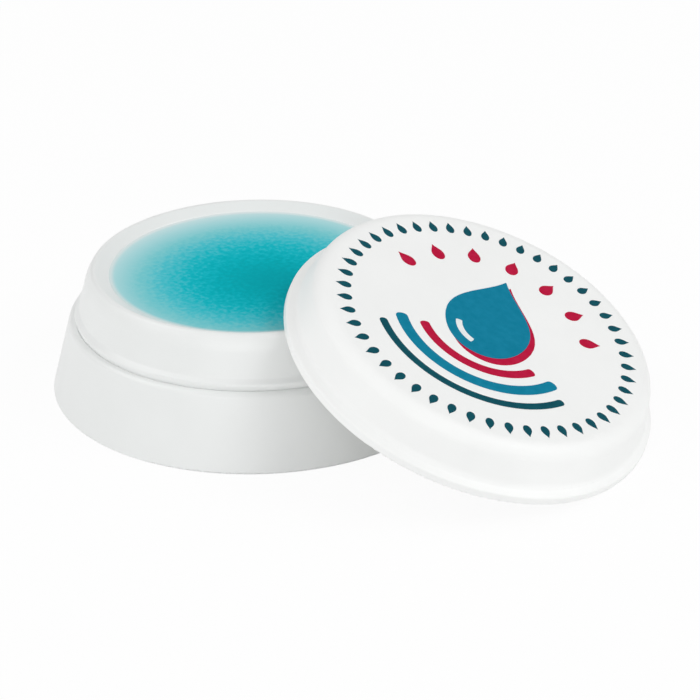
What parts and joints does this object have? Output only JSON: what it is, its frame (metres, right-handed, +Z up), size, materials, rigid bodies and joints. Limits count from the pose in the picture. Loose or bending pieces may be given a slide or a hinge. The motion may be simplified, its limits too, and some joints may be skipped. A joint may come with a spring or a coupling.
{
  "type": "finger moistener",
  "caption": "Low round white plastic jar with a flared base and a bowl of tacky teal gel for moistening fingertips, and a push-on lid with a pull-off lip that leans on the jar's rim.",
  "frame": {"origin": "centre of the jar's foot ring, on the table", "axes": "+Z up along the jar's axis, +X from the jar's axis towards the lid that leans on it"},
  "size_m": [0.1063, 0.0698, 0.032],
  "materials": {
    "jar_plastic": "white moulded polypropylene, satin",
    "lid_plastic": "white moulded polypropylene, satin, printed top",
    "gel": "tacky teal gel, softly shiny",
    "liner_foam": "white closed-cell foam sheet"
  },
  "bodies": {
    "jar": {"base_shell": "jar_plastic", "cup": "jar_plastic", "gel": "gel"},
    "lid": {"lid_shell": "lid_plastic", "lid_liner": "liner_foam"}
  },
  "joints": [
    {"name": "lid_lift", "type": "slide", "parent": "jar", "child": "lid", "axis": [0, 0, 1], "range_m": [0, 0.05]}
  ]
}
